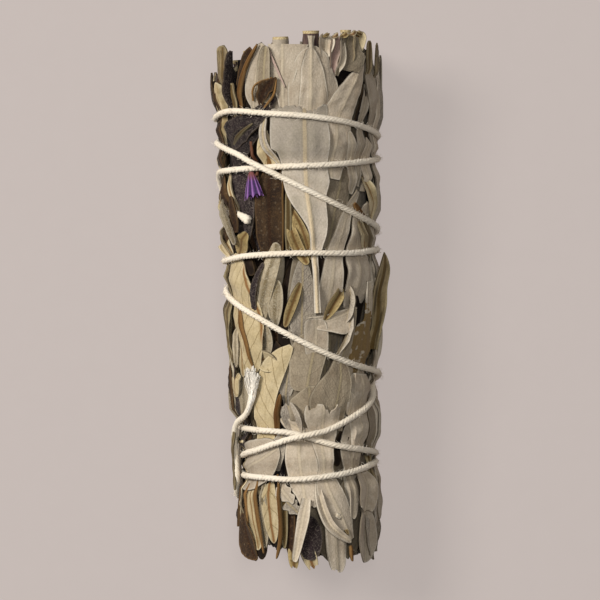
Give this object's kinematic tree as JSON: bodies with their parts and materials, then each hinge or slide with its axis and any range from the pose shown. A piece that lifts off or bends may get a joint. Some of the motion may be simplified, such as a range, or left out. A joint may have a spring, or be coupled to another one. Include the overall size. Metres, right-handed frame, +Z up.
{
  "type": "sage bunch",
  "caption": "Dried white sage bundle, leafy sprigs bound tight with crossing turns of cotton twine, a purple statice calyx tucked under it, lying on its side",
  "frame": {"origin": "centre of the bounding box over the surface that the bundle lies on", "axes": "+Y along the bundle towards its cut stems, +X across it, +Z up"},
  "size_m": [0.0354, 0.1082, 0.0303],
  "materials": {
    "pale_leaf": "matte",
    "brown_leaf": "matte",
    "mixed_leaf": "matte",
    "cotton": "matte",
    "purple_calyx": "matte",
    "dry_stalk": "matte"
  },
  "bodies": {
    "root": {"pale_sprig_1": "pale_leaf", "pale_sprig_2": "pale_leaf", "pale_sprig_3": "pale_leaf", "brown_sprig_1": "brown_leaf", "brown_sprig_2": "brown_leaf", "under_sprig_1": "mixed_leaf", "under_sprig_2": "mixed_leaf", "under_sprig_3": "mixed_leaf", "cotton_twine": "cotton", "statice_calyx": "purple_calyx", "statice_stalk": "dry_stalk"}
  },
  "joints": []
}
